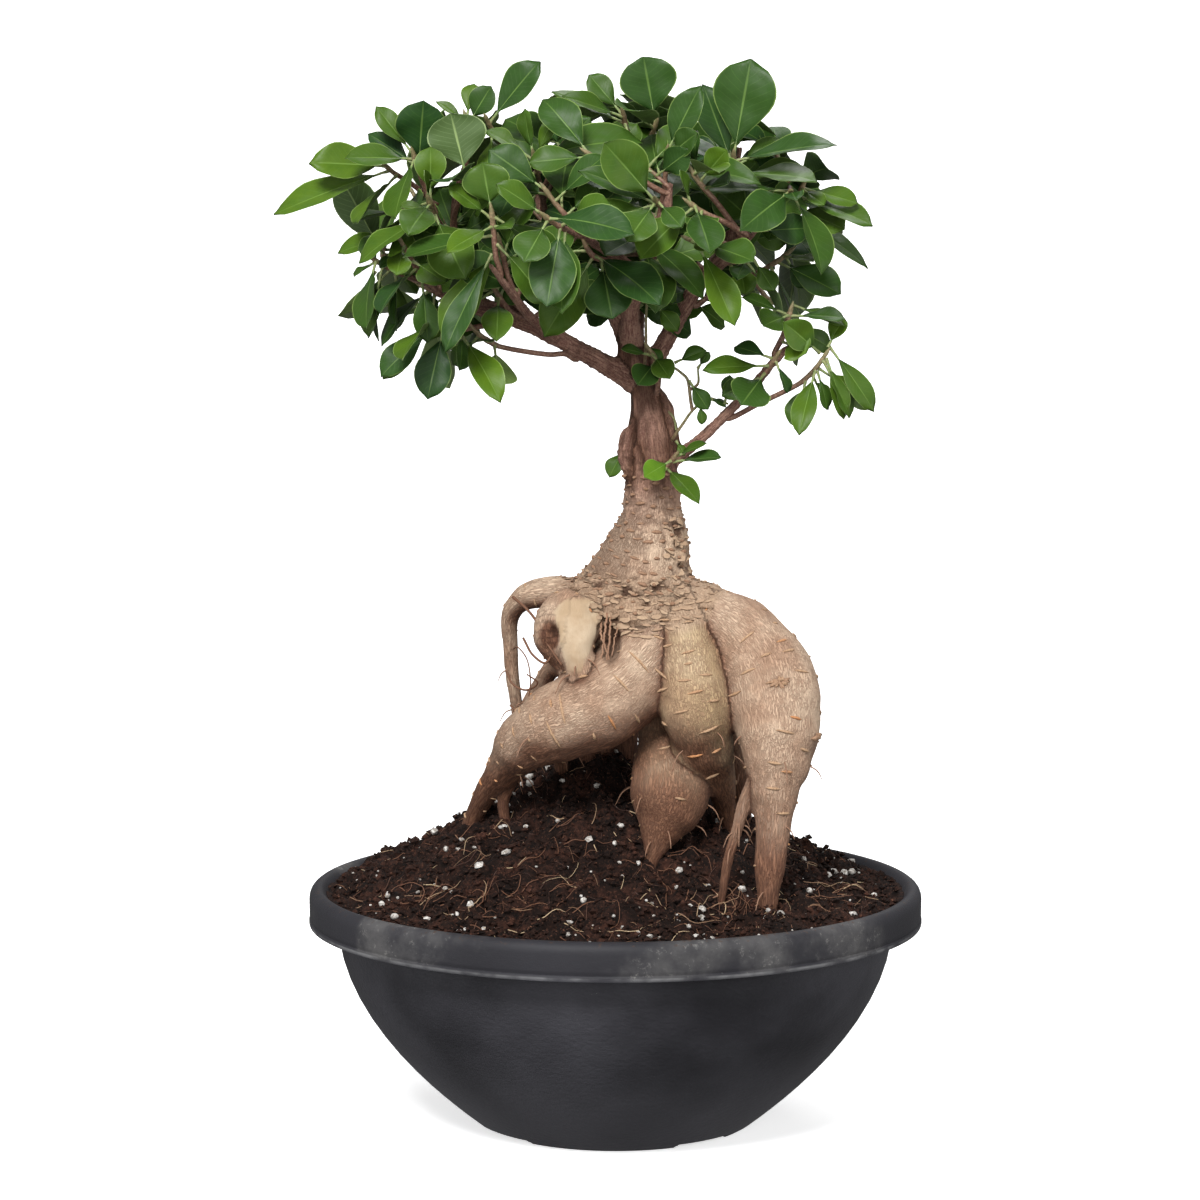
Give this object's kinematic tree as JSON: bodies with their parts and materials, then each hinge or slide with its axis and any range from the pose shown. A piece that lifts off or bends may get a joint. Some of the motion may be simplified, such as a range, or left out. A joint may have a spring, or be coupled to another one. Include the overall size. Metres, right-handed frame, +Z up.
{
  "type": "ginseng ficus in a bowl",
  "caption": "Ginseng ficus bonsai: fat bare roots standing on a soil mound, a short trunk, leafy shoots and a round plastic bowl.",
  "frame": {"origin": "centre of the bowl's flat underside, on the surface that it stands on, on the bowl's axis", "axes": "+Z up along the bowl's axis, +X to the viewer's right in the picture, +Y away from the viewer"},
  "size_m": [0.3662, 0.35, 0.6041],
  "materials": {
    "pot": "matte",
    "soil": "matte",
    "bark": "matte",
    "leaf": "satin"
  },
  "bodies": {
    "root": {"bowl": "pot", "soil": "soil", "trunk_and_roots": "bark", "shoot_01": "leaf", "shoot_02": "leaf", "shoot_03": "leaf", "shoot_04": "leaf", "shoot_05": "leaf", "shoot_06": "leaf", "shoot_07": "leaf", "shoot_08": "leaf", "shoot_09": "leaf", "shoot_10": "leaf", "shoot_11": "leaf", "shoot_12": "leaf", "shoot_13": "leaf", "shoot_14": "leaf", "shoot_15": "leaf", "shoot_16": "leaf", "shoot_17": "leaf", "shoot_18": "leaf", "shoot_19": "leaf", "shoot_20": "leaf", "shoot_21": "leaf", "shoot_22": "leaf", "shoot_23": "leaf", "shoot_24": "leaf", "shoot_25": "leaf", "shoot_26": "leaf", "shoot_27": "leaf", "shoot_28": "leaf", "shoot_29": "leaf", "shoot_30": "leaf", "shoot_31": "leaf", "shoot_32": "leaf", "shoot_33": "leaf", "shoot_34": "leaf", "shoot_35": "leaf", "shoot_36": "leaf", "shoot_37": "leaf", "shoot_38": "leaf", "shoot_39": "leaf", "shoot_40": "leaf", "shoot_41": "leaf", "shoot_42": "leaf", "shoot_43": "leaf", "shoot_44": "leaf", "shoot_45": "leaf", "shoot_46": "leaf", "shoot_47": "leaf", "shoot_48": "leaf", "shoot_49": "leaf", "shoot_50": "leaf", "shoot_51": "leaf", "shoot_52": "leaf", "shoot_53": "leaf", "shoot_54": "leaf", "shoot_55": "leaf"}
  },
  "joints": []
}
